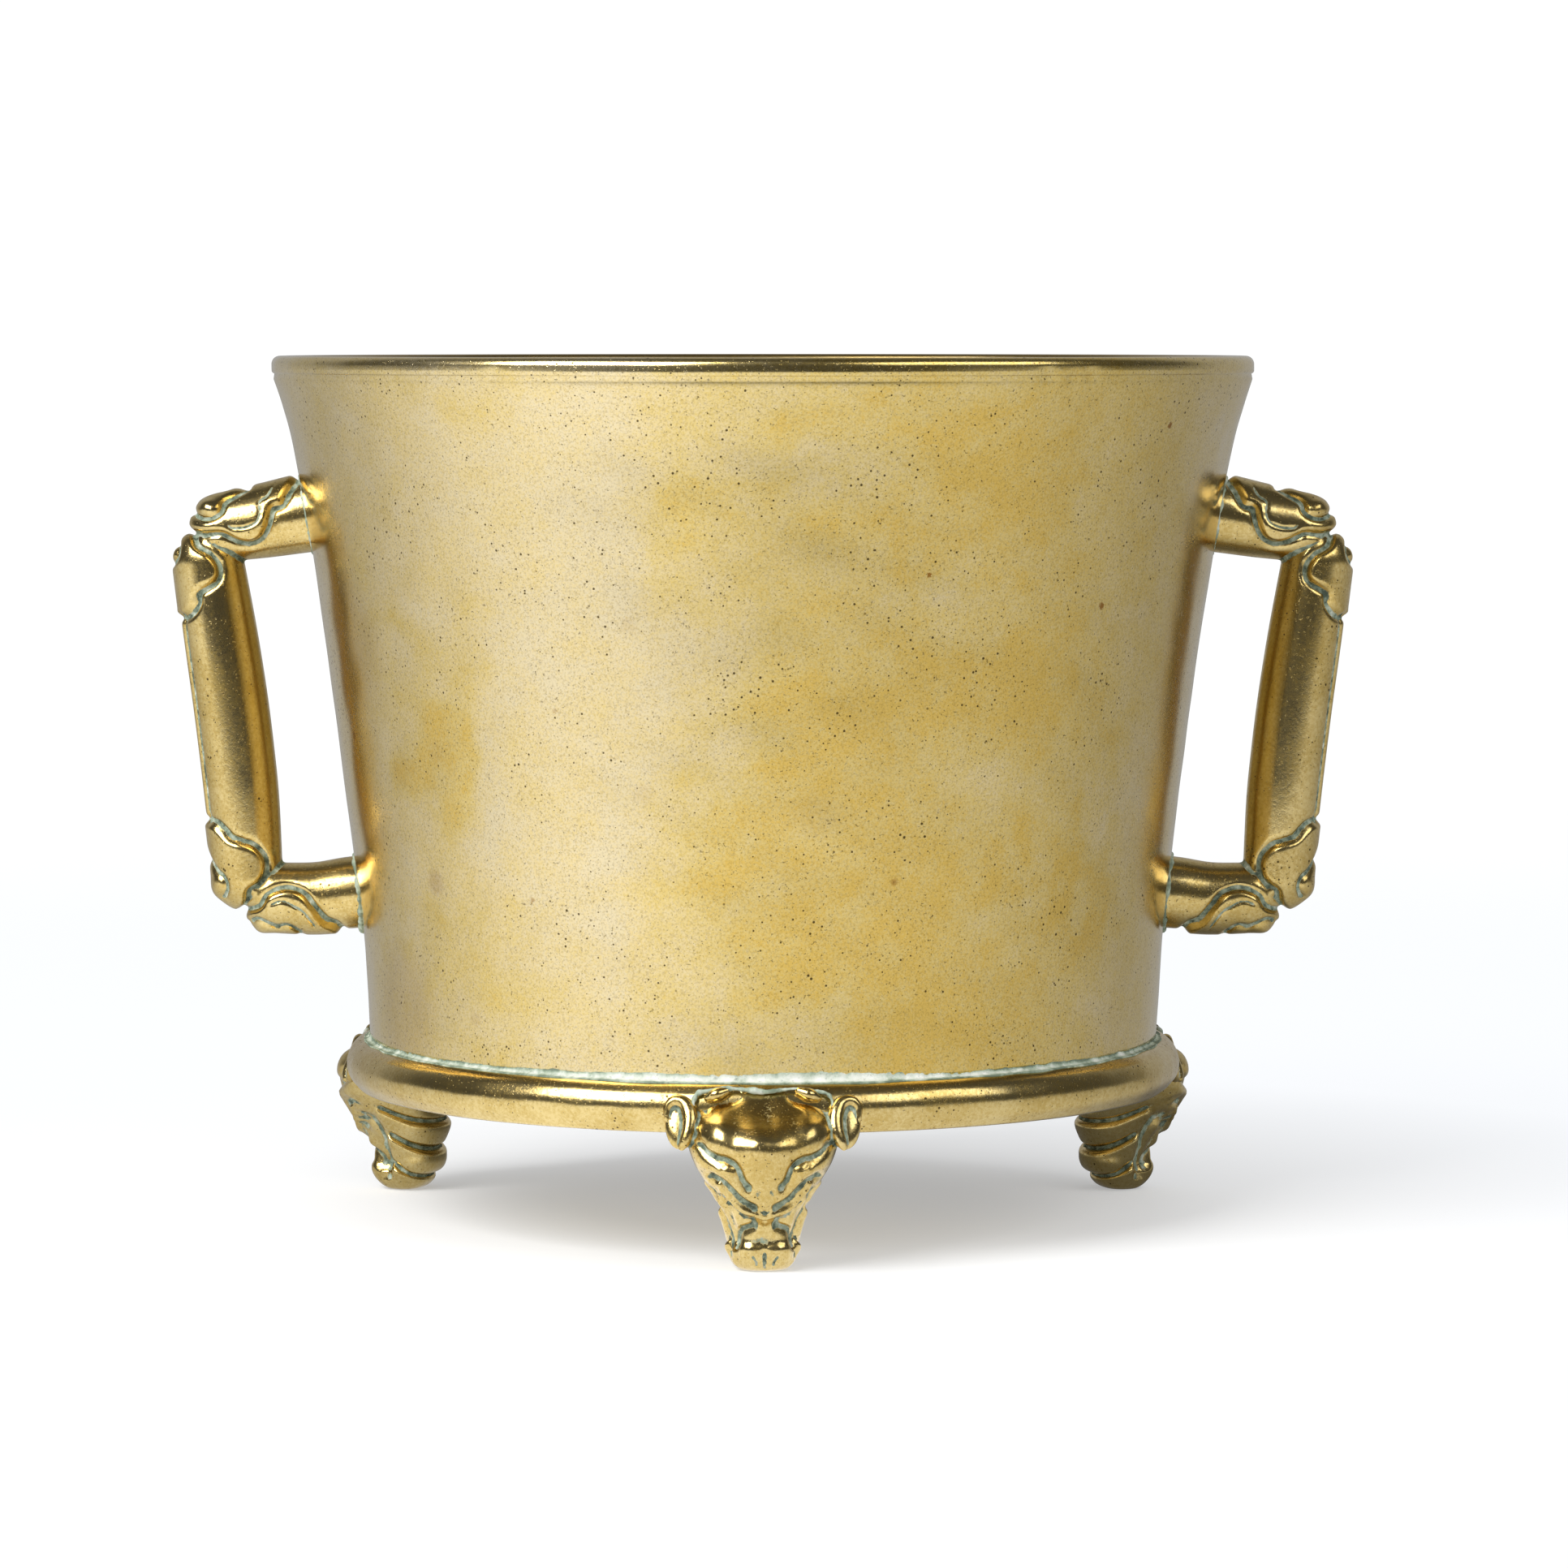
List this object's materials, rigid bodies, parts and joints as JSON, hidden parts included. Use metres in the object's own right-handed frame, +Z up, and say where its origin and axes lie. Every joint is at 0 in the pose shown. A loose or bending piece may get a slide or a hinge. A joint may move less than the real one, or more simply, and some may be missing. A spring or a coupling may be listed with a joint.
{
  "type": "brass planter pot",
  "caption": "Flared round brass pot on a ring base, with bracket handles at the sides and beast-head feet; stands as a planter.",
  "frame": {"origin": "on the floor under the middle of the pot: the pot's vertical axis meets the plane the feet stand on", "axes": "+Z up, +X towards the right-hand handle, -Y is the front, where the single front foot stands"},
  "size_m": [0.245, 0.2006, 0.176],
  "materials": {
    "polished_brass": "hand-polished satin, lightly aged",
    "cast_brass": "cast and chased, aged, verdigris in the grooves",
    "burr_brass": "hammered, dull brown",
    "solder": "soft solder, oxidised pale grey-green"
  },
  "bodies": {
    "root": {"pot_body": "polished_brass", "base_plate": "cast_brass", "handle_left": "cast_brass", "handle_right": "cast_brass", "foot_front": "cast_brass", "foot_rear_left": "cast_brass", "foot_rear_right": "cast_brass", "handle_burrs": "burr_brass", "base_solder_seam": "solder", "foot_front_solder": "solder", "foot_rear_left_solder": "solder", "foot_rear_right_solder": "solder", "handle_left_upper_solder": "solder", "handle_left_lower_solder": "solder", "handle_right_upper_solder": "solder", "handle_right_lower_solder": "solder"}
  },
  "joints": []
}
